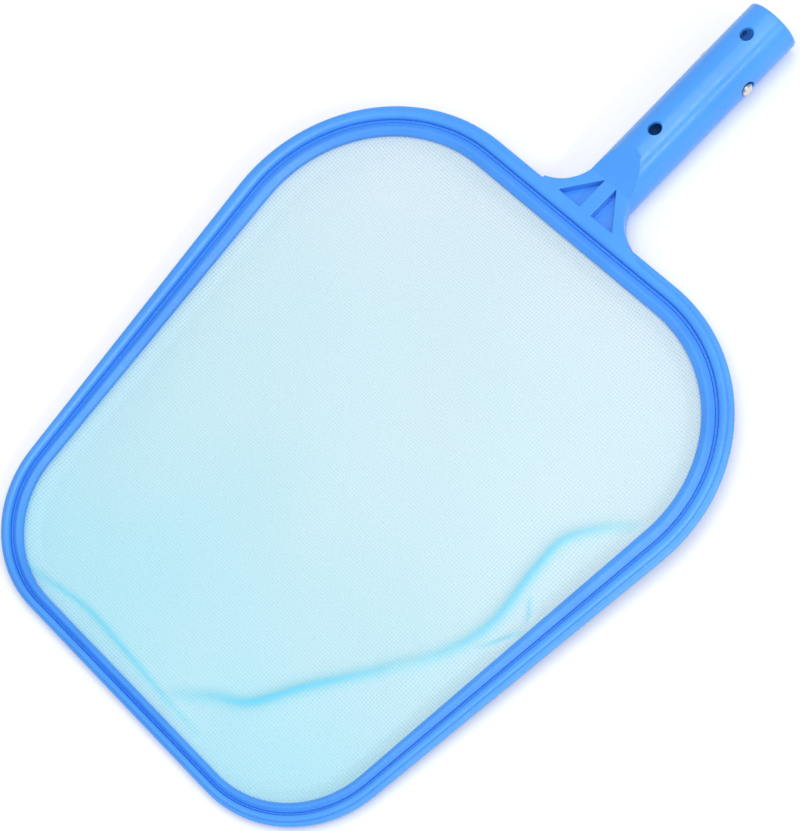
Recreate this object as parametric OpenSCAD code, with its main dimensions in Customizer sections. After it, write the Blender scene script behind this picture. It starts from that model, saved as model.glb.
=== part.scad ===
// Leaf skimmer head: a flat moulded frame that carries a fine net, with a
// tubular handle that slides into a pole and locks there with two sprung buttons.
// +Y runs along the handle, away from the net. +Z is up, off the net's open face.
// The origin is at the middle of the bounding box, at the level of its base.

/* [Head] */
// Length of the head, from its far lip to its edge at the handle
head_length = 320; // [300:1:340]
// Width between the head's side lines, at its edge nearest the handle
head_near_width = 323; // [315:1:330]
// Width between the head's side lines, at its far lip
head_far_width = 241; // [234:1:248]
// Outer corner radius near the handle
near_corner_r = 89; // [80:1:96]
// Outer corner radius at the far lip
far_corner_r = 61; // [55:1:66]
// Height of the frame, from its underside to the top of its rim
frame_height = 8; // [7:0.5:10]
// Drop from the rim's top to the outer flange
flange_drop = 1.8; // [1:0.1:3]
// Thickness of the flange's outer lip
lip_thickness = 2; // [1.6:0.1:3]

/* [Opening] */
// Width between the opening's side lines, at its edge nearest the handle
opening_near_width = 281.6; // [274:1:286]
// Width between the opening's side lines, at its far edge
opening_far_width = 221.6; // [214:1:226]
// Corner radius of the opening near the handle
opening_near_r = 72; // [66:1:78]
// Corner radius of the opening at the far lip
opening_far_r = 52; // [47:1:57]
// Width of the frame's band at the handle
near_band = 15.6; // [14:0.1:18]
// Width of the frame's band at the far lip
far_band = 9.1; // [8:0.1:11]

/* [Net] */
// Thickness of the net and of its border
net_thickness = 0.6; // [0.4:0.1:0.8]
// Thickness of the ledge that the net is clamped on
ledge_thickness = 2.5; // [2:0.1:3]
// Height of the retaining ring above the net
ring_height = 3.9; // [3:0.1:4.5]

/* [Handle] */
// Outer diameter of the handle, which slides into a pole
handle_d = 28.7; // [28:0.1:30]
// Wall thickness of the handle
handle_wall = 2.4; // [2:0.1:3]
// Length of the handle beyond the head
handle_length = 130; // [125:1:140]
// Depth of the handle's bore
bore_depth = 91; // [88:1:92]
// Depth of the handle's axis below the top of the rim
axis_drop = 5.8; // [5:0.1:7]

/* [Holes] */
// Diameter of the two bolt holes through the handle
bolt_hole_d = 6.8; // [6:0.1:7.5]
// Distance of the first bolt hole from the handle's mouth
bolt_hole_1 = 16; // [14:0.5:18]
// Distance of the second bolt hole from the handle's mouth
bolt_hole_2 = 79.5; // [79:0.5:81]
// Diameter of the two side holes for the sprung buttons
button_hole_d = 8.3; // [8:0.1:8.6]
// Distance of the side holes from the handle's mouth
button_hole = 33; // [31:0.5:34]

/* [Spring clip] */
// Width of the clip's steel strip
strip_width = 9; // [8:0.5:9]
// Thickness of the clip's steel strip
strip_thickness = 0.9; // [0.7:0.1:0.9]
// Distance of the clip's bend from the handle's mouth
clip_pivot = 71; // [70:0.5:72]
// Distance of the arms' tips from the handle's mouth
clip_tip = 10; // [9:0.5:14]
// Distance from the handle's axis to the middle of a straight arm
arm_offset = 10.2; // [9.5:0.1:10.2]
// How far a button stands out of the handle
button_proud = 1; // [0.8:0.1:2.5]

/* [Hidden] */
$fn = 128;
past = 1; // how far a cutter runs past the faces that it cuts

// Levels and lengths of the whole head
handle_r = handle_d / 2;
bore_r = handle_r - handle_wall;
axis_z = handle_r;
rim_z = axis_z + axis_drop;
under_z = rim_z - frame_height;
flange_z = rim_z - flange_drop;
ledge_z = under_z + ledge_thickness;
total_length = head_length + handle_length;
mouth_y = total_length / 2;
far_y = -total_length / 2;
near_y = far_y + head_length;

// The frame's band is shared out between its outer edge, at 0, and the opening, at 1
lip_share = 0.12;
rim_share = 0.18;
groove_share = 0.47;
border_share = 0.49;
ring_share = 0.58;
hollow_shares = [0.23, 0.36];
border_clear = 0.02;
skirt_share = 0.03;
net_lift = 0.25; // how far the net lies above the frame's underside
hollow_height = 3.3;
bead_height = 2.4;
net_z = under_z + net_lift;
clamp_z = ledge_z + net_thickness;

// An outline is [half width near, half width far, y near, y far, radius near, radius far]
outer_edge = [head_near_width / 2, head_far_width / 2, near_y, far_y, near_corner_r, far_corner_r];
opening_edge = [
    opening_near_width / 2, opening_far_width / 2, near_y - near_band, far_y + far_band,
    opening_near_r, opening_far_r
];
function edge_at(share) = outer_edge + share * (opening_edge - outer_edge);
function lean(e) = atan((e[0] - e[1]) / (e[2] - e[3]));
function near_centre(e) = [e[0] - e[4] * tan(lean(e)) - e[4] / cos(lean(e)), e[2] - e[4]];
function far_centre(e) = [e[1] + e[5] * tan(lean(e)) - e[5] / cos(lean(e)), e[3] + e[5]];
function side_of(centre, r, e) = centre + r * [cos(lean(e)), -sin(lean(e))];
function mirrored(points) = [for (i = [len(points) - 1:-1:0]) [-points[i][0], points[i][1]]];

// Gusset plate between the handle and the head
fillet_r = 23;
fillet_start = 23; // from the head's near edge to where the handle starts to flare
plate_reach = 29; // half width of the plate where it meets the head's edge
plate_foot = 40; // half width of the plate's feet on the rim
plate_half = 12.8; // half width of the plate's neck, just inside the handle's wall
plate_neck = 20; // how far the plate runs on inside the handle
root_share = 0.7; // share of the handle's radius from the head's near edge to its domed root's centre
pocket_depth = 5;
pocket_rib = 7.6; // width of the rib between the two pockets
pocket_width = 14.4;
pocket_length = 17.8;
ramp_start = 93; // from the mouth to where the ramp starts, on the handle's top
ramp_end = 112; // from the mouth to where the ramp meets the plate
ramp_angle = atan((2 * handle_r - rim_z) / (ramp_end - ramp_start));
root_y = mouth_y - ramp_start; // where the moulding is shared between the gusset and the handle

// Spring clip
bend_r = 3;
hinge_gap = 0.15;
arm_straight = 26; // from the bend to where an arm turns straight
tip_curl = 1;
tip_length = 4;
button_lag = 0.5; // the button starts this far from its hole's centre, towards the bend
shoulder_r = 3.2;
button_r = 2.9;
button_round = 0.4;
neck_r = 1.5;
rivet_r = 2.4;
rivet_height = 0.7;
button_y = mouth_y - button_hole - button_lag;

module outline(share) {
    e = edge_at(share);
    near_c = near_centre(e);
    far_c = far_centre(e);
    right = [
        [far_c[0], e[3]],
        side_of(far_c, e[5], e),
        side_of(near_c, e[4], e),
        [near_c[0], e[2]]
    ];
    polygon(concat(right, mirrored(right)));
    for (side = [-1, 1]) {
        translate([side * near_c[0], near_c[1]]) circle(r = e[4]);
        translate([side * far_c[0], far_c[1]]) circle(r = e[5]);
    }
}

// A slab of the head's outline, between two heights
module slab(share, low, high) {
    translate([0, 0, low]) linear_extrude(high - low) outline(share);
}

// A closed band between two shares of the frame's width, between two heights
module band(outer, inner, low, high) {
    difference() {
        slab(outer, low, high);
        slab(inner, low - past, high + past);
    }
}

module gusset_outline() {
    right = [
        [plate_foot, near_y - near_band * rim_share],
        [plate_reach, near_y],
        [plate_reach, near_y + fillet_start],
        [plate_half, near_y + fillet_start],
        [plate_half, near_y + fillet_start + plate_neck]
    ];
    difference() {
        polygon(concat(right, mirrored(right)));
        for (side = [-1, 1]) {
            translate([side * (plate_half + fillet_r), near_y + fillet_start]) circle(r = fillet_r);
        }
    }
}

module gusset_pockets() {
    for (side = [-1, 1]) {
        translate([side * pocket_rib / 2, near_y, rim_z - pocket_depth])
            linear_extrude(pocket_depth + past)
                polygon([[0, 0], [side * pocket_width, 0], [0, pocket_length]]);
    }
}

module handle_body() {
    tip_y = near_y + root_share * handle_r;
    translate([0, mouth_y, axis_z]) rotate([90, 0, 0]) cylinder(r = handle_r, h = mouth_y - tip_y);
    translate([0, tip_y, axis_z]) sphere(r = handle_r);
}

// Everything above the ramp that leads from the handle's top down to the plate
module ramp_cut() {
    size = 60;
    translate([-size / 2, mouth_y - ramp_end, rim_z]) {
        rotate([ramp_angle, 0, 0]) cube([size, size, size]);
        translate([0, -size, 0]) cube([size, size, size]);
    }
}

module handle_holes() {
    translate([0, mouth_y + past, axis_z]) rotate([90, 0, 0]) cylinder(r = bore_r, h = bore_depth + past);
    for (from_mouth = [bolt_hole_1, bolt_hole_2]) {
        translate([0, mouth_y - from_mouth, -past]) cylinder(d = bolt_hole_d, h = 2 * (handle_r + past));
    }
    translate([-handle_r - past, mouth_y - button_hole, axis_z])
        rotate([0, 90, 0]) cylinder(d = button_hole_d, h = 2 * (handle_r + past));
}

// The head's band before its groove, ledge and opening are cut
module head_body() {
    slab(0, flange_z - lip_thickness, flange_z);
    slab(lip_share, under_z, flange_z);
    slab(rim_share, under_z, rim_z);
}

module frame() {
    color("dodgerblue") difference() {
        head_body();
        slab(groove_share, ledge_z, rim_z + past);
        slab(1, under_z - past, rim_z);
        band(hollow_shares[0], hollow_shares[1], under_z - past, under_z + hollow_height);
    }
}

// The plate, its pockets and the handle's closed root, moulded in one with the frame
module gusset() {
    size = 60;
    color("dodgerblue") difference() {
        union() {
            translate([0, 0, under_z]) linear_extrude(frame_height) gusset_outline();
            handle_body();
        }
        head_body();
        ramp_cut();
        gusset_pockets();
        translate([-size / 2, root_y, -past]) cube([size, size + mouth_y - root_y, size]);
    }
}

module handle() {
    color("dodgerblue") difference() {
        translate([0, mouth_y, axis_z]) rotate([90, 0, 0]) cylinder(r = handle_r, h = mouth_y - root_y);
        handle_holes();
    }
}

module retaining_ring() {
    color("royalblue") band(ring_share, 1, clamp_z, clamp_z + ring_height);
}

module net() {
    color("lightcyan") slab(1 + border_clear + skirt_share, net_z, net_z + net_thickness);
}

module net_border() {
    color("paleturquoise") {
        band(border_share, 1 + border_clear, ledge_z, clamp_z);
        band(1 + border_clear, 1 + border_clear + skirt_share, net_z + net_thickness, clamp_z);
        band(border_share, ring_share - border_clear, clamp_z, clamp_z + bead_height);
    }
}

module clip_bend() {
    outer_r = bend_r + strip_thickness / 2;
    color("silver") translate([0, mouth_y - clip_pivot, axis_z - strip_width / 2]) {
        difference() {
            cylinder(r = outer_r, h = strip_width);
            translate([0, 0, -past]) cylinder(r = outer_r - strip_thickness, h = strip_width + 2 * past);
            translate([-outer_r - past, 0, -past]) cube([2 * (outer_r + past), outer_r + past, strip_width + 2 * past]);
        }
    }
}

// The arm on the +X side, or on the -X side with side = -1
module clip_arm(side) {
    pivot_y = mouth_y - clip_pivot;
    tip_y = mouth_y - clip_tip;
    middle = [
        [bend_r, pivot_y + hinge_gap],
        [arm_offset, pivot_y + arm_straight],
        [arm_offset, tip_y - tip_length],
        [arm_offset - tip_curl, tip_y]
    ];
    half = [strip_thickness / 2, 0];
    outside = [for (p = middle) p + half];
    inside = [for (i = [len(middle) - 1:-1:0]) middle[i] - half];
    flip = side < 0 ? [1, 0, 0] : [0, 0, 0];
    color("silver") mirror(flip) difference() {
        translate([0, 0, axis_z - strip_width / 2])
            linear_extrude(strip_width) polygon(concat(outside, inside));
        translate([arm_offset - past, button_y, axis_z])
            rotate([0, 90, 0]) cylinder(r = neck_r, h = 2 * past);
    }
}

// The button on the +X side, or on the -X side with side = -1
module button(side) {
    inner_x = arm_offset - strip_thickness / 2;
    outer_x = arm_offset + strip_thickness / 2;
    top_x = handle_r + button_proud;
    flip = side < 0 ? [1, 0, 0] : [0, 0, 0];
    color("gainsboro") mirror(flip) translate([0, button_y, axis_z]) rotate([0, 90, 0]) {
        translate([0, 0, inner_x - rivet_height]) cylinder(r = rivet_r, h = rivet_height);
        translate([0, 0, inner_x]) cylinder(r = neck_r, h = strip_thickness);
        translate([0, 0, outer_x]) cylinder(r = shoulder_r, h = handle_r - outer_x);
        translate([0, 0, handle_r]) cylinder(r = button_r, h = button_proud - button_round);
        translate([0, 0, top_x - button_round])
            cylinder(r1 = button_r, r2 = button_r - button_round, h = button_round);
    }
}

module clip_arm_left() { clip_arm(-1); }
module clip_arm_right() { clip_arm(1); }
module button_left() { button(-1); }
module button_right() { button(1); }

frame();
gusset();
handle();
retaining_ring();
net();
net_border();
clip_bend();
clip_arm_left();
clip_arm_right();
button_left();
button_right();
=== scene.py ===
"""Looks of a leaf skimmer net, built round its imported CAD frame."""

import math

import bmesh
import bpy
import numpy as np
from mathutils import Matrix, Vector


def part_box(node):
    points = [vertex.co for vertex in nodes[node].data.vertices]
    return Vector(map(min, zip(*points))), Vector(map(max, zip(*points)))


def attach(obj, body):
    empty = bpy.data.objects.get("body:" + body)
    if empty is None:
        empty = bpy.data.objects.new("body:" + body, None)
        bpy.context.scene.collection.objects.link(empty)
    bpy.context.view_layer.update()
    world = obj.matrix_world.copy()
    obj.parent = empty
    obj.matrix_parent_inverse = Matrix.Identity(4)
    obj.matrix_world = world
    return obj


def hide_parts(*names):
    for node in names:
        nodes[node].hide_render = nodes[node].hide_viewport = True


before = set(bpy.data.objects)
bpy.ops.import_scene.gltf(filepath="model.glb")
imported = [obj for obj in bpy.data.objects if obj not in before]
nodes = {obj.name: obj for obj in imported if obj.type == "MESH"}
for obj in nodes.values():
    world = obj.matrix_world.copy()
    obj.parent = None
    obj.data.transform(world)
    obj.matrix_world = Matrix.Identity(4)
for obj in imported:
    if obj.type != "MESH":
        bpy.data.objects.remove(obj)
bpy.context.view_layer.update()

MM = 0.001

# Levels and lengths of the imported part, in millimetres
band_low, band_high = (np.array(corner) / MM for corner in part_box("frame"))
handle_low, handle_high = (np.array(corner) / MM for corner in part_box("handle"))
ring_low, ring_high = (np.array(corner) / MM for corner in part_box("retaining_ring"))
net_low, net_high = (np.array(corner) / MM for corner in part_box("net"))
UNDER_Z, RIM_Z = band_low[2], band_high[2]
FAR_Y, NEAR_Y = band_low[1], band_high[1]
HANDLE_R = (handle_high[2] - handle_low[2]) / 2
AXIS_Z = handle_low[2] + HANDLE_R
MOUTH_Y, ROOT_Y = handle_high[1], handle_low[1]
CLAMP_Z, RING_TOP_Z = ring_low[2], ring_high[2]
NET_Z = (net_low[2] + net_high[2]) / 2

# Shares of the band's width, from its outer edge at 0 to the opening at 1
NEAR_BAND, FAR_BAND = 15.6, 9.1
LIP_SHARE, RIM_SHARE, GROOVE_SHARE, RING_SHARE, CREST_SHARE = 0.12, 0.18, 0.47, 0.58, 0.79
HOLLOW_SHARES = (0.23, 0.36)
HOLLOW_HEIGHT = 3.3
MEAN_BAND = 14.2
FLANGE_Z = RIM_Z - 1.8
LIP_Z = FLANGE_Z - 2
LEDGE_Z = UNDER_Z + 2.5
BEAD_HEIGHT, BEAD_CLEAR = 2.9, 0.005

# An outline is half width near, half width far, y near, y far, radius near, radius far
OUTER_EDGE = np.array([161.5, 120.5, NEAR_Y, FAR_Y, 89, 61])
OPENING_EDGE = np.array([140.8, 110.8, NEAR_Y - NEAR_BAND, FAR_Y + FAR_BAND, 72, 52])

# Gusset plate and handle
PLATE_FOOT, PLATE_REACH, PLATE_HALF = 40, 29, 12.8
FILLET_R, FILLET_START, PLATE_NECK = 23, 23, 8
POCKET_RIB, POCKET_WIDTH, POCKET_LENGTH, POCKET_DEPTH = 7.6, 14.4, 17.8, 5
RAMP_END = 19  # length of the ramp, from the handle's top down to the plate
BORE_R, BORE_DEPTH = HANDLE_R - 2.4, 91
BOLT_R, BOLT_HOLES = 3.4, (16, 79.5)
SIDE_HOLE_R, SIDE_HOLE = 4.15, 33
# A bolt hole's flared end: how far the hole is grown, and how deep in the wall
HOLE_FLARE = [(0.9, -1), (0.5, 0.1), (0, 0.8)]
HOLE_SIDES = 48
ROOT_SHARE = 0.7  # from the head's edge to the domed root's centre, in handle radii
WEB_ROOT = 3  # how far the web under the plate runs on into the band
PAST = 2  # how far a cutter runs past the faces that it cuts

# Net
NET_EDGE_SHARE = GROOVE_SHARE + 0.05
NET_LIFT = 0.3  # from the ledge to the net's clamped edge
NET_DROP = 9  # how far inside the opening the net comes down to its level
NET_SLACK, SLACK_REACH = 1.4, 70
WAVE_REACH = 25
NET_CLEAR = 0.9  # least height of the net above what the part lies on


# Shapes

def half_outline(share):
    """The head's right outline at a share of the band, from the far lip's middle to the near edge's."""
    half_near, half_far, y_near, y_far, r_near, r_far = OUTER_EDGE + share * (OPENING_EDGE - OUTER_EDGE)
    lean = math.atan((half_near - half_far) / (y_near - y_far))
    near_x = half_near - r_near * math.tan(lean) - r_near / math.cos(lean)
    far_x = half_far + r_far * math.tan(lean) - r_far / math.cos(lean)
    far_turn = np.linspace(-math.pi / 2, -lean, 25)
    near_turn = np.linspace(-lean, math.pi / 2, 37)
    far_arc = np.c_[far_x + r_far * np.cos(far_turn), y_far + r_far + r_far * np.sin(far_turn)]
    near_arc = np.c_[near_x + r_near * np.cos(near_turn), y_near - r_near + r_near * np.sin(near_turn)]
    far_line = np.linspace((0, y_far), far_arc[0], 12)[:-1]
    side_line = np.linspace(far_arc[-1], near_arc[0], 30)[1:-1]
    near_line = np.linspace(near_arc[-1], (0, y_near), 16)[1:]
    return np.concatenate([far_line, far_arc, side_line, near_arc, near_line])


def outline(share):
    """The head's whole outline at a share of the band, going round from the far lip's middle."""
    right = half_outline(share)
    return np.concatenate([right, right[-2:0:-1] * (-1, 1)])


def rounded(corners, steps=4):
    """A closed profile of (x, y, radius) corners with an arc at each of them."""
    points = []
    for i, (x, y, r) in enumerate(corners):
        here = Vector((x, y))
        before = (Vector(corners[i - 1][:2]) - here).normalized()
        after = (Vector(corners[(i + 1) % len(corners)][:2]) - here).normalized()
        if r == 0:
            points.append(here)
            continue
        half_angle = before.angle(after) / 2
        centre = here + (before + after).normalized() * r / math.sin(half_angle)
        first = here + before * r / math.tan(half_angle) - centre
        last = here + after * r / math.tan(half_angle) - centre
        turn = first.angle_signed(last)
        points += [centre + Matrix.Rotation(-turn * k / steps, 2) @ first for k in range(steps + 1)]
    return [tuple(p) for p in points]


def piece(name, points, faces):
    """A closed mesh of points in millimetres, with its faces turned outwards."""
    mesh = bpy.data.meshes.new(name)
    mesh.from_pydata((np.asarray(points, float) * MM).tolist(), [], faces)
    shape = bmesh.new()
    shape.from_mesh(mesh)
    bmesh.ops.recalc_face_normals(shape, faces=shape.faces)
    shape.to_mesh(mesh)
    shape.free()
    made = bpy.data.objects.new(name, mesh)
    bpy.context.scene.collection.objects.link(made)
    return made


def swept(name, profile, first=None, last=None):
    """A profile of (share, z) points carried round the head, or along its stations from first to last."""
    loops = np.array([np.c_[outline(share), np.full(len(outline(share)), z)] for share, z in profile])
    stations = np.swapaxes(loops, 0, 1)
    closed = first is None
    if not closed:
        stations = stations[first:last]
    count, across = stations.shape[:2]
    faces = []
    for i in range(count if closed else count - 1):
        here, there = i * across, (i + 1) % count * across
        for j in range(across):
            k = (j + 1) % across
            faces.append((here + j, here + k, there + k, there + j))
    if not closed:
        faces.append(tuple(range(across)))
        faces.append(tuple(range((count - 1) * across, count * across)))
    return piece(name, stations.reshape(-1, 3), faces)


def profile_of(corners, steps=4):
    """A swept profile from (share, z, radius) corners."""
    points = rounded([(share * MEAN_BAND, z, r) for share, z, r in corners], steps)
    return [(x / MEAN_BAND, z) for x, z in points]


def grown(polygon, distance):
    """A closed polygon, anticlockwise, with every side moved out by a distance."""
    points = np.asarray(polygon, float)
    along = np.roll(points, -1, 0) - points
    along /= np.linalg.norm(along, axis=1)[:, None]
    out = np.c_[along[:, 1], -along[:, 0]]
    out_before = np.roll(out, 1, 0)
    mitre = (out + out_before) / (1 + (out * out_before).sum(1))[:, None]
    return points + distance * mitre


def prism(name, polygon, levels, axis="Z", centre=(0, 0, 0)):
    """A polygon carried along an axis through levels of (how far it is grown, height)."""
    loops = [np.c_[grown(polygon, grow), np.full(len(polygon), height)] for grow, height in levels]
    points = np.concatenate(loops)
    if axis == "Y":
        points = points[:, [0, 2, 1]]
    if axis == "X":
        points = points[:, [2, 0, 1]]
    sides = len(polygon)
    faces = [tuple(range(sides)), tuple(range((len(loops) - 1) * sides, len(loops) * sides))]
    for i in range(len(loops) - 1):
        for j in range(sides):
            k = (j + 1) % sides
            faces.append((i * sides + j, i * sides + k, (i + 1) * sides + k, (i + 1) * sides + j))
    return piece(name, points + np.array(centre), faces)


def circle(radius, sides):
    turn = np.linspace(0, 2 * math.pi, sides, endpoint=False)
    return radius * np.c_[np.cos(turn), np.sin(turn)]


def round_levels(low, high, low_round, high_round, steps=4):
    """Levels of a prism whose end edges are rounded, or flared where a round is below 0."""
    levels = []
    for k in range(steps + 1):
        turn = k / steps * math.pi / 2
        levels.append((low_round * (math.sin(turn) - 1), low + abs(low_round) * (1 - math.cos(turn))))
    for k in range(steps + 1):
        turn = k / steps * math.pi / 2
        levels.append((high_round * (math.cos(turn) - 1), high - abs(high_round) * (1 - math.sin(turn))))
    return levels


def combine(target, tool, operation):
    """Joins tool to target, or cuts it from target, and removes tool."""
    modifier = target.modifiers.new("combine", "BOOLEAN")
    modifier.operation = operation
    modifier.solver = "EXACT"
    modifier.object = tool
    evaluated = target.evaluated_get(bpy.context.evaluated_depsgraph_get())
    mesh = bpy.data.meshes.new_from_object(evaluated)
    target.modifiers.clear()
    target.data = mesh
    bpy.data.objects.remove(tool)


def smooth(made, degrees=33):
    """Smooth shading that keeps edges sharper than an angle."""
    made.data.shade_smooth()
    made.data.set_sharp_from_angle(angle=math.radians(degrees))
    weighted = made.modifiers.new("weighted_normals", "WEIGHTED_NORMAL")
    weighted.keep_sharp = True


def frame_moulding():
    """The band, the gusset plate and the handle, as one moulding."""
    moulding = swept("frame_moulding", profile_of([
        (LIP_SHARE, UNDER_Z, 0.7),
        (LIP_SHARE, LIP_Z, 0.3),
        (0, LIP_Z, 0.5),
        (0, FLANGE_Z, 0.8),
        (RIM_SHARE, FLANGE_Z, 0.5),
        (RIM_SHARE, RIM_Z, 1),
        (GROOVE_SHARE, RIM_Z, 2.3),
        (GROOVE_SHARE, LEDGE_Z, 0.3),
        (1, LEDGE_Z, 0.5),
        (1, UNDER_Z, 0.6),
    ]))
    rim_y = NEAR_Y - NEAR_BAND * RIM_SHARE
    fillet_y = NEAR_Y + FILLET_START
    sweep_x = (PLATE_HALF + FILLET_R - PLATE_REACH) / FILLET_R
    turns = np.linspace(math.pi + math.acos(sweep_x), math.pi, 14)
    fillet = np.c_[PLATE_HALF + FILLET_R + FILLET_R * np.cos(turns), fillet_y + FILLET_R * np.sin(turns)]
    neck = [(PLATE_HALF, fillet_y + PLATE_NECK)]
    buried_y = NEAR_Y - NEAR_BAND * (RIM_SHARE + GROOVE_SHARE) / 2
    foot = [(PLATE_FOOT, buried_y), (PLATE_FOOT, rim_y), (PLATE_REACH, NEAR_Y)]
    right = np.concatenate([foot, fillet, neck])
    whole = np.concatenate([right, right[::-1] * (-1, 1)])
    plate = prism("plate", whole, round_levels(FLANGE_Z - 1, RIM_Z, 0.3, 0.8))
    right = np.concatenate([[(PLATE_REACH, NEAR_Y - WEB_ROOT)], fillet, neck])
    whole = np.concatenate([right, right[::-1] * (-1, 1)])
    web = prism("web", whole, round_levels(UNDER_Z, RIM_Z - 1, 0.6, 0.3))
    dome_y = NEAR_Y + ROOT_SHARE * HANDLE_R
    turns = np.linspace(0.06, math.pi / 2, 24)
    dome = [(HANDLE_R * (math.sin(t) - 1), dome_y - HANDLE_R * math.cos(t)) for t in turns]
    body = [(0, y) for y in np.linspace(dome_y, MOUTH_Y - 2, 40)[1:]]
    mouth = round_levels(0, MOUTH_Y, 0, 0.9)[5:]
    handle = prism("handle_body", circle(HANDLE_R, 128), dome + body + mouth, "Y", (0, 0, AXIS_Z))
    slope_z = 2 * HANDLE_R - RIM_Z
    above = [
        (ROOT_Y + RAMP_END, RIM_Z + 2 * slope_z),
        (FAR_Y / 3, RIM_Z + 2 * slope_z),
        (FAR_Y / 3, RIM_Z),
        (ROOT_Y - RAMP_END, RIM_Z),
    ]
    combine(handle, prism("ramp", above, [(0, -2 * HANDLE_R), (0, 2 * HANDLE_R)], "X"), "DIFFERENCE")
    for part in (web, plate, handle):
        combine(moulding, part, "UNION")
    flare = round_levels(MOUTH_Y - BORE_DEPTH, MOUTH_Y, 1.2, -0.7)
    bore = prism("bore", circle(BORE_R, 96), flare + [(0.7, MOUTH_Y + PAST)], "Y", (0, 0, AXIS_Z))
    combine(moulding, bore, "DIFFERENCE")
    for from_mouth in BOLT_HOLES:
        upper_flare = [(grow, 2 * HANDLE_R - depth) for grow, depth in reversed(HOLE_FLARE)]
        place = (0, MOUTH_Y - from_mouth, 0)
        hole = prism("hole", circle(BOLT_R, HOLE_SIDES), HOLE_FLARE + upper_flare, "Z", place)
        combine(moulding, hole, "DIFFERENCE")
    levels = [(0, -HANDLE_R - PAST), (0, HANDLE_R + PAST)]
    place = (0, MOUTH_Y - SIDE_HOLE, AXIS_Z)
    side_hole = prism("hole", circle(SIDE_HOLE_R, HOLE_SIDES), levels, "X", place)
    combine(moulding, side_hole, "DIFFERENCE")
    for side in (1, -1):
        corners = [
            (POCKET_RIB / 2, NEAR_Y, 0.25),
            (POCKET_RIB / 2 + POCKET_WIDTH, NEAR_Y, 0.25),
            (POCKET_RIB / 2, NEAR_Y + POCKET_LENGTH, 0.25),
        ]
        pocket = np.array(rounded(corners)) * (side, 1)
        levels = round_levels(RIM_Z - POCKET_DEPTH, RIM_Z, 0.2, -0.4) + [(0.4, RIM_Z + PAST)]
        combine(moulding, prism("pocket", pocket[::side], levels), "DIFFERENCE")
    outer, inner = HOLLOW_SHARES
    hollow = profile_of([
        (outer, UNDER_Z - PAST, 0),
        (outer, UNDER_Z + HOLLOW_HEIGHT, 0.5),
        (inner, UNDER_Z + HOLLOW_HEIGHT, 0.5),
        (inner, UNDER_Z - PAST, 0),
    ])
    x = outline(outer)[:, 0]
    y = outline(outer)[:, 1]
    kept = np.flatnonzero((np.abs(x) > PLATE_FOOT) | (y < 0))
    # stations run from the far lip up the right side, so the gap at the handle splits the run in two
    right_run = kept[kept < len(x) // 2]
    left_run = kept[kept > len(x) // 2]
    combine(moulding, swept("hollow", hollow, right_run[0], right_run[-1] + 1), "DIFFERENCE")
    combine(moulding, swept("hollow", hollow, left_run[0], left_run[-1] + 1), "DIFFERENCE")
    smooth(moulding)
    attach(moulding, "head")
    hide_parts("frame", "gusset", "handle")
    return moulding


def ring_moulding():
    """The inner ring that clamps the net's edge."""
    ring = swept("ring_moulding", profile_of([
        (RING_SHARE, CLAMP_Z, 0.4),
        (RING_SHARE, RING_TOP_Z - 1.6, 0.4),
        (CREST_SHARE, RING_TOP_Z, 1.6),
        (1, RING_TOP_Z - 1.9, 0.8),
        (1, CLAMP_Z, 0.5),
    ]))
    smooth(ring)
    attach(ring, "head")
    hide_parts("retaining_ring")
    return ring


def net_bead():
    """The folded edge of the net, which lies in the groove."""
    bead = swept("net_bead", profile_of([
        (GROOVE_SHARE + BEAD_CLEAR, LEDGE_Z, 0.3),
        (GROOVE_SHARE + BEAD_CLEAR, LEDGE_Z + BEAD_HEIGHT, 0.5),
        (RING_SHARE - BEAD_CLEAR, LEDGE_Z + BEAD_HEIGHT, 0.5),
        (RING_SHARE - BEAD_CLEAR, LEDGE_Z, 0.3),
    ]))
    smooth(bead, 60)
    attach(bead, "head")
    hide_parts("net_border")
    return bead


# Creases of the net: points in millimetres, then a crease's reach on its left and its right,
# its height and its fold's width
CREASES = [
    ([(-95, -214), (-70, -210), (-45, -206), (-15, -207), (15, -209), (45, -210)], 2.5, 4.5, 2.2, 1.6),
    ([(15, -208), (35, -192), (50, -182), (65, -158), (85, -130), (100, -108)], 4.0, 8.0, 2.8, 3.4),
    (
        [(85, -130), (100, -108), (109, -80), (106, -48), (106, -28), (116, -12), (130, 2)],
        4.0, 8.0, 2.8, 3.4,
    ),
    ([(124, -70), (112, -92)], 1.5, 2.5, 0.9, 1.0),
    ([(122, -68), (113, -57)], 1.5, 2.0, 0.9, 1.0),
]


def curve_through(points, per_span=14):
    """A smooth curve through points."""
    first = 2 * np.array(points[0]) - points[1]
    last = 2 * np.array(points[-1]) - points[-2]
    ends = [first, *np.array(points, float), last]
    made = []
    for a, b, c, d in zip(ends, ends[1:], ends[2:], ends[3:]):
        for t in np.linspace(0, 1, per_span, endpoint=False):
            square = (2 * a - 5 * b + 4 * c - d) * t**2
            cube = (3 * b - a - 3 * c + d) * t**3
            made.append(0.5 * (2 * b + (c - a) * t + square + cube))
    return np.array([*made, points[-1]])


def along_line(points, line):
    """For each point: its distance from a line of points, the side it lies on, and how far along it is."""
    nearest = np.full(len(points), 1e9)
    side = np.zeros(len(points))
    reach = np.zeros(len(points))
    for i, (a, b) in enumerate(zip(line, line[1:])):
        step = b - a
        t = np.clip((points - a) @ step / (step @ step), 0, 1)
        gap = points - a - t[:, None] * step
        distance = np.hypot(gap[:, 0], gap[:, 1])
        closer = distance < nearest
        cross = step[0] * gap[:, 1] - step[1] * gap[:, 0]
        nearest[closer] = distance[closer]
        side[closer] = np.sign(cross[closer])
        reach[closer] = (i + t[closer]) / (len(line) - 1)
    return nearest, side, reach


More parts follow.
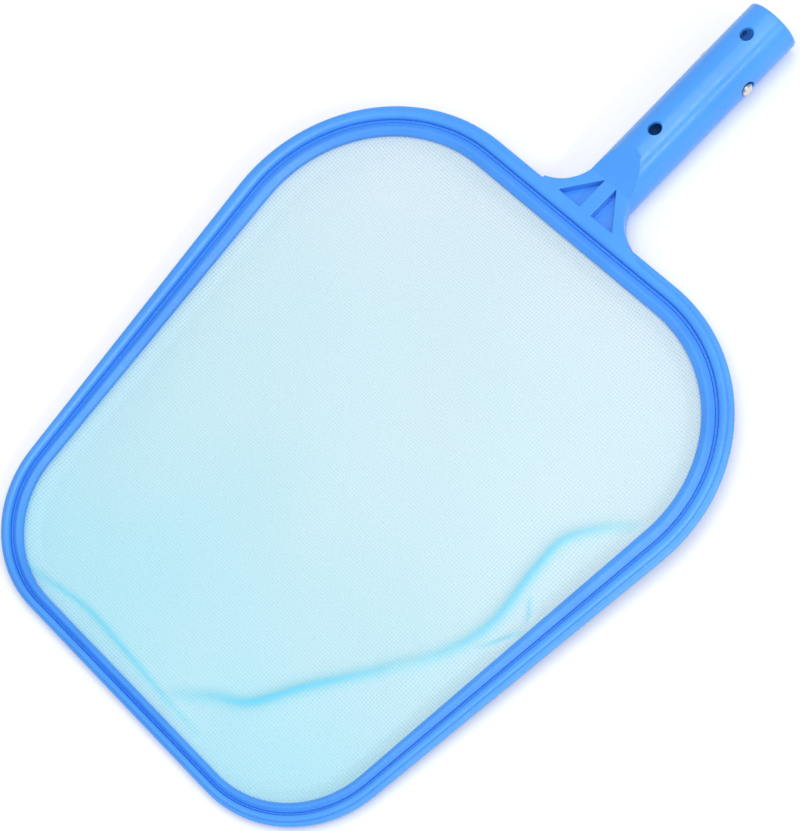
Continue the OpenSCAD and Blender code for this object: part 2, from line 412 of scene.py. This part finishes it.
def even(line, count):
    """A line's points, spaced evenly."""
    run = np.r_[0, np.cumsum(np.hypot(*np.diff(line, axis=0).T))]
    at = np.linspace(0, run[-1], count)
    return np.c_[np.interp(at, run, line[:, 0]), np.interp(at, run, line[:, 1])]


def net_fabric():
    """The net: one woven sheet from its folded edge under the ring to its slack, creased middle."""
    edge = outline(NET_EDGE_SHARE)
    half = len(edge) // 2
    # stations of the right outline where the sheet's corners lie
    far_corner, near_corner = 23, 77
    across, length = 176, 190
    far_side = np.concatenate([edge[-far_corner:], edge[: far_corner + 1]])
    right_side = edge[far_corner : near_corner + 1]
    near_side = edge[near_corner : 2 * half - near_corner + 1][::-1]
    left_side = edge[2 * half - near_corner : 2 * half - far_corner + 1][::-1]
    far_side, near_side = even(far_side, across), even(near_side, across)
    left_side, right_side = even(left_side, length), even(right_side, length)
    u = np.linspace(0, 1, across)[None, :, None]
    v = np.linspace(0, 1, length)[:, None, None]
    flat = (1 - v) * far_side[None] + v * near_side[None]
    flat = flat + (1 - u) * left_side[:, None] + u * right_side[:, None]
    flat = flat - (1 - u) * (1 - v) * far_side[0] - u * (1 - v) * far_side[-1]
    flat = (flat - (1 - u) * v * near_side[0] - u * v * near_side[-1]).reshape(-1, 2)

    inner_edge = outline(1)
    inside, side, _ = along_line(flat, np.concatenate([inner_edge, inner_edge[:1]]))
    inside = inside * side
    drop = np.clip(inside / NET_DROP, 0, 1)
    drop = drop * drop * (3 - 2 * drop)
    slack = np.clip(inside / SLACK_REACH, 0, 1)
    slack = 1 - (1 - slack) ** 2
    height = LEDGE_Z + NET_LIFT - (LEDGE_Z + NET_LIFT - NET_Z) * drop - NET_SLACK * slack
    x, y = flat.T
    waves = 0.5 * np.sin(x / 31 + y / 57)
    waves += 0.4 * np.sin(x / 47 - y / 38 + 1.3)
    waves += 0.25 * np.sin(x / 17 + y / 23)
    height += waves * np.clip(inside / WAVE_REACH, 0, 1)
    fold = np.zeros(len(flat))
    for points, left, right, rise, fold_width in CREASES:
        distance, side, reach = along_line(flat, curve_through(points))
        fade = np.sin(np.clip(reach, 0, 1) * math.pi) ** 0.5
        width = np.where(side > 0, left, right)
        ridge = np.exp(-((distance / width) ** 1.5)) * fade
        height += rise * ridge * np.clip(inside / 4, 0, 1)
        fold = np.maximum(fold, np.exp(-((distance / fold_width) ** 2)) * fade)
    # the part lies tilted, on its far lip and its handle, and the net stays clear of what it lies on
    ground = UNDER_Z * (MOUTH_Y - y) / (MOUTH_Y - FAR_Y)
    height = np.maximum(height, ground + NET_CLEAR)
    points = np.c_[flat, height]
    faces = []
    for row in range(length - 1):
        for column in range(across - 1):
            k = row * across + column
            faces.append((k, k + 1, k + 1 + across, k + across))
    net = piece("net_fabric", points, faces)
    net.data.shade_smooth()
    shade = net.data.attributes.new("fold", "FLOAT", "POINT")
    shade.data.foreach_set("value", fold.astype(np.float32))
    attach(net, "head")
    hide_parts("net")
    width, depth = flat.max(0) - flat.min(0)
    return net


# Materials

def new_material(name):
    made = bpy.data.materials.new(name)
    made.use_nodes = True
    tree = made.node_tree
    shader = tree.nodes["Principled BSDF"]
    return made, tree, shader


def add(tree, kind, **values):
    """A node with some of its settings and inputs set."""
    node = tree.nodes.new(kind)
    for name, value in values.items():
        if name in node.inputs:
            node.inputs[name].default_value = value
        else:
            setattr(node, name, value)
    return node


def noise(tree, scale, detail=3, stretch=(1, 1, 1)):
    """A noise pattern of a scale per metre, in the object's own place."""
    place = add(tree, "ShaderNodeTexCoord")
    mapping = add(tree, "ShaderNodeMapping", Scale=stretch)
    pattern = add(tree, "ShaderNodeTexNoise", Scale=scale, Detail=detail)
    tree.links.new(place.outputs["Object"], mapping.inputs["Vector"])
    tree.links.new(mapping.outputs["Vector"], pattern.inputs["Vector"])
    return pattern.outputs["Fac"]


def ramp(tree, value, stops):
    """Colours or greys that follow a value, from stops of (value, colour)."""
    node = add(tree, "ShaderNodeValToRGB")
    elements = node.color_ramp.elements
    while len(elements) < len(stops):
        elements.new(0.5)
    for element, (position, colour) in zip(elements, stops):
        element.position = position
        element.color = (*colour, 1) if hasattr(colour, "__len__") else (colour, colour, colour, 1)
    tree.links.new(value, node.inputs["Fac"])
    return node.outputs["Color"]


def plastic(name, deep, bright, roughness, grain, edge=0.0004):
    """Moulded plastic: slow changes of tone where it flowed, a fine grain and softened edges."""
    made, tree, shader = new_material(name)
    colour = ramp(tree, noise(tree, 22, 4), [(0.3, deep), (0.7, bright)])
    tree.links.new(colour, shader.inputs["Base Color"])
    gloss = ramp(tree, noise(tree, 160, 3), [(0.3, roughness - 0.05), (0.7, roughness + 0.07)])
    tree.links.new(gloss, shader.inputs["Roughness"])
    bevel = add(tree, "ShaderNodeBevel", samples=4, Radius=edge)
    bump = add(tree, "ShaderNodeBump", Strength=grain, Distance=0.0002)
    tree.links.new(noise(tree, 1400, 2), bump.inputs["Height"])
    tree.links.new(bevel.outputs["Normal"], bump.inputs["Normal"])
    tree.links.new(bump.outputs["Normal"], shader.inputs["Normal"])
    return made


def metal(name, colour, roughness, stretch):
    """Metal with fine lines along its length."""
    made, tree, shader = new_material(name)
    shader.inputs["Metallic"].default_value = 1
    low = tuple(0.82 * c for c in colour)
    lines = noise(tree, 900, 3, stretch)
    tree.links.new(ramp(tree, lines, [(0.3, low), (0.7, colour)]), shader.inputs["Base Color"])
    gloss = ramp(tree, lines, [(0.3, roughness - 0.06), (0.7, roughness + 0.08)])
    tree.links.new(gloss, shader.inputs["Roughness"])
    bump = add(tree, "ShaderNodeBump", Strength=0.15, Distance=0.00005)
    tree.links.new(lines, bump.inputs["Height"])
    tree.links.new(bump.outputs["Normal"], shader.inputs["Normal"])
    return made


def math_node(tree, operation, first, second=None):
    node = add(tree, "ShaderNodeMath", operation=operation)
    for socket, value in zip(node.inputs, (first, second)):
        if isinstance(value, bpy.types.NodeSocket):
            tree.links.new(value, socket)
        elif value is not None:
            socket.default_value = value
    return node.outputs[0]


def net_material():
    """Fine pale blue nylon net."""
    made, tree, shader = new_material("net_weave")
    pitch = 0.0015
    place = add(tree, "ShaderNodeTexCoord")
    split = add(tree, "ShaderNodeSeparateXYZ")
    tree.links.new(place.outputs["Object"], split.inputs[0])
    wander = math_node(tree, "MULTIPLY", noise(tree, 30, 2), 0.003)
    waves = []
    for direction in ("X", "Y"):
        shifted = math_node(tree, "ADD", split.outputs[direction], wander)
        turn = math_node(tree, "MULTIPLY", shifted, 2 * math.pi / pitch)
        waves.append(math_node(tree, "COSINE", turn))
    weave = math_node(tree, "MAXIMUM", *waves)
    fold = add(tree, "ShaderNodeAttribute", attribute_name="fold").outputs["Fac"]
    solid = ramp(tree, weave, [(0.0, 0.58), (0.8, 0.76)])
    dense = math_node(tree, "MAXIMUM", solid, math_node(tree, "MULTIPLY", fold, 0.95))
    tree.links.new(dense, shader.inputs["Alpha"])
    # painted shade: the net is darker and bluer towards its far lip, with random tone laid over it
    along = math_node(tree, "MULTIPLY_ADD", split.outputs["Y"], 2.2)
    along.node.inputs[2].default_value = 0.5
    tone_place = math_node(tree, "ADD", along, math_node(tree, "MULTIPLY", noise(tree, 9, 2), 0.35))
    stops = [(0.2, (0.40, 0.78, 0.90)), (0.55, (0.56, 0.80, 0.89)), (0.9, (0.66, 0.82, 0.90))]
    tone_and_painted_shade = ramp(tree, tone_place, stops)
    folded = ramp(tree, fold, [(0.0, (1, 1, 1)), (0.6, (0.62, 0.95, 1.0)), (1.0, (0.3, 0.78, 0.98))])
    tone = add(tree, "ShaderNodeMix", data_type="RGBA", blend_type="MULTIPLY")
    tone.inputs[0].default_value = 1
    tree.links.new(tone_and_painted_shade, tone.inputs[6])
    tree.links.new(folded, tone.inputs[7])
    tree.links.new(tone.outputs[2], shader.inputs["Base Color"])
    shader.inputs["Roughness"].default_value = 0.55
    bump = add(tree, "ShaderNodeBump", Strength=0.25, Distance=0.0003)
    tree.links.new(weave, bump.inputs["Height"])
    tree.links.new(bump.outputs["Normal"], shader.inputs["Normal"])
    return made


def groove_shaded_bead_material():
    """The net's folded edge, in fine cords, with painted shade: their deep dark blue stands in for the
    shade in the groove.
    """
    made, tree, shader = new_material("net_edge_groove_shade")
    strands = noise(tree, 900, 3)
    # painted shade: the cords' deep dark blue, darker than the frame, stands in for the shade of the
    # groove between rim and ring
    colour = ramp(tree, strands, [(0.35, (0.03, 0.20, 0.80)), (0.65, (0.045, 0.26, 0.86))])
    tree.links.new(colour, shader.inputs["Base Color"])
    shader.inputs["Roughness"].default_value = 0.7
    bump = add(tree, "ShaderNodeBump", Strength=0.6, Distance=0.0003)
    tree.links.new(strands, bump.inputs["Height"])
    tree.links.new(bump.outputs["Normal"], shader.inputs["Normal"])
    return made


def dress(made, material):
    made.data.materials.clear()
    made.data.materials.append(material)


# Stage

def area_light(name, towards, distance, size, power, long_size=None):
    """A soft light at a distance from the part's middle, facing it."""
    lamp = bpy.data.lights.new(name, "AREA")
    lamp.energy = power
    lamp.size = size
    if long_size:
        lamp.shape = "RECTANGLE"
        lamp.size_y = long_size
    made = bpy.data.objects.new(name, lamp)
    bpy.context.scene.collection.objects.link(made)
    back = Vector(towards).normalized()
    side = Vector((0, 1, 0)).cross(back).normalized()
    turned = Matrix((side, back.cross(side), back)).transposed().to_4x4()
    made.matrix_world = Matrix.Translation(back * distance) @ turned
    return made


def stage():
    """Floor, lights and camera."""
    mesh = bpy.data.meshes.new("floor")
    reach = 4.0
    # the part lies on its handle's mouth and its far lip
    slope = UNDER_Z / (FAR_Y - MOUTH_Y)
    gap = 0.0001
    corners = ((-reach, -reach), (reach, -reach), (reach, reach), (-reach, reach))
    points = [(x, y, (y - MOUTH_Y * MM) * slope - gap) for x, y in corners]
    mesh.from_pydata(points, [], [(0, 1, 2, 3)])
    floor = bpy.data.objects.new("floor", mesh)
    bpy.context.scene.collection.objects.link(floor)
    made, tree, shader = new_material("floor_white")
    shader.inputs["Base Color"].default_value = (0.92, 0.92, 0.92, 1)
    shader.inputs["Roughness"].default_value = 0.9
    shader.inputs["Specular IOR Level"].default_value = 0.1
    dress(floor, made)

    world = bpy.data.worlds.new("studio")
    bpy.context.scene.world = world
    world.use_nodes = True
    world.node_tree.nodes["Background"].inputs["Color"].default_value = (1, 1, 1, 1)
    world.node_tree.nodes["Background"].inputs["Strength"].default_value = 0.68
    area_light("over", (0.1, 0.1, 1), 1.6, 1.2, 9)
    area_light("strip_high", (0.43, 0.1, 0.9), 1.7, 0.08, 5, 1.0)
    area_light("strip_low", (0.8, 0.1, 0.6), 1.7, 0.08, 5, 1.0)

    lens = bpy.data.cameras.new("camera")
    lens.lens = 116.4
    lens.sensor_width = 36
    lens.clip_start, lens.clip_end = 0.05, 20
    camera = bpy.data.objects.new("camera", lens)
    bpy.context.scene.collection.objects.link(camera)
    right = Vector((0.6677, 0.6952, -0.2662))
    up = Vector((-0.6084, 0.7157, 0.343))
    back = right.cross(up)
    turned = Matrix((right, up, back)).transposed().to_4x4()
    aim = Vector((0.0053, -0.037, RIM_Z * MM))
    camera.matrix_world = Matrix.Translation(aim + back * 1.271) @ turned
    bpy.context.scene.camera = camera
    bpy.context.scene.view_settings.view_transform = "Standard"


frame_blue = plastic("frame_blue", (0.05, 0.285, 0.83), (0.062, 0.325, 0.88), 0.28, 0.12)
ring_blue = plastic("ring_blue", (0.04, 0.25, 0.80), (0.06, 0.31, 0.87), 0.40, 0.9)
spring_steel = metal("spring_steel", (0.62, 0.62, 0.60), 0.3, (0.15, 1, 1))
nickel = metal("nickel", (0.78, 0.76, 0.71), 0.28, (1, 1, 1))

dress(frame_moulding(), frame_blue)
dress(ring_moulding(), ring_blue)
dress(net_bead(), groove_shaded_bead_material())
dress(net_fabric(), net_material())
for name in ("clip_bend", "clip_arm_left", "clip_arm_right"):
    dress(nodes[name], spring_steel)
for name in ("button_left", "button_right"):
    dress(nodes[name], nickel)
stage()
